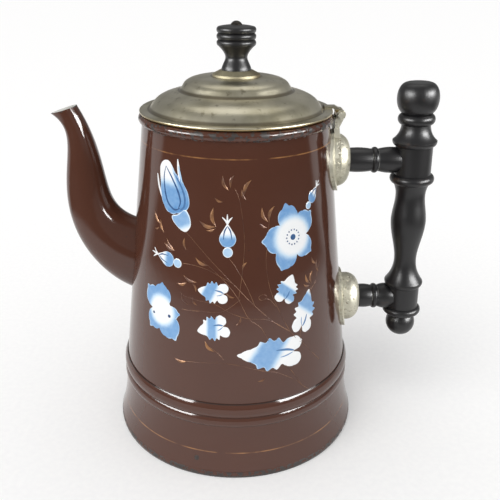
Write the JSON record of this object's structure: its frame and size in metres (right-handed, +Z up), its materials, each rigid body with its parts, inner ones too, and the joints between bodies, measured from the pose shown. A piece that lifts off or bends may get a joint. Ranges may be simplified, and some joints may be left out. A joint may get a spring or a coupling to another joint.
{
  "type": "enamel coffee pot",
  "caption": "Tapered enamelled steel coffee pot with a curved spout, a hinged pewter lid with a turned knob, and a turned wooden handle on cast mounts.",
  "frame": {"origin": "on the pot's axis at the foot's underside, the surface it stands on", "axes": "+Z up along the pot's axis, +X towards the handle and the lid hinge, -X towards the spout"},
  "size_m": [0.2208, 0.151, 0.2425],
  "materials": {
    "brown_enamel": "glossy",
    "bare_iron": "satin",
    "pewter": "satin",
    "ebonised_wood": "satin",
    "dark_brass": "satin"
  },
  "bodies": {
    "pot": {"body_wall": "brown_enamel", "rim_wire": "bare_iron", "base_band": "brown_enamel", "bottom_plate": "bare_iron", "spout": "brown_enamel", "upper_plate": "pewter", "lower_plate": "pewter", "upper_socket": "pewter", "lower_socket": "pewter", "upper_rivets": "bare_iron", "lower_rivets": "bare_iron", "upper_arm": "ebonised_wood", "lower_arm": "ebonised_wood", "upper_socket_pin": "bare_iron", "lower_socket_pin": "bare_iron", "handle_spindle": "ebonised_wood", "hinge_pin": "dark_brass"},
    "lid": {"lid_dome": "pewter", "lid_collar": "pewter", "hinge_leaf": "pewter", "knob_plate": "pewter", "lid_knob": "ebonised_wood", "knob_bolt": "dark_brass", "knob_washer": "bare_iron", "knob_nut": "bare_iron"}
  },
  "joints": [
    {"name": "lid_hinge", "type": "hinge", "parent": "pot", "child": "lid", "pos_m": [0.05835, 0, 0.19375], "axis": [0, 1, 0], "range_deg": [0, 105]}
  ]
}
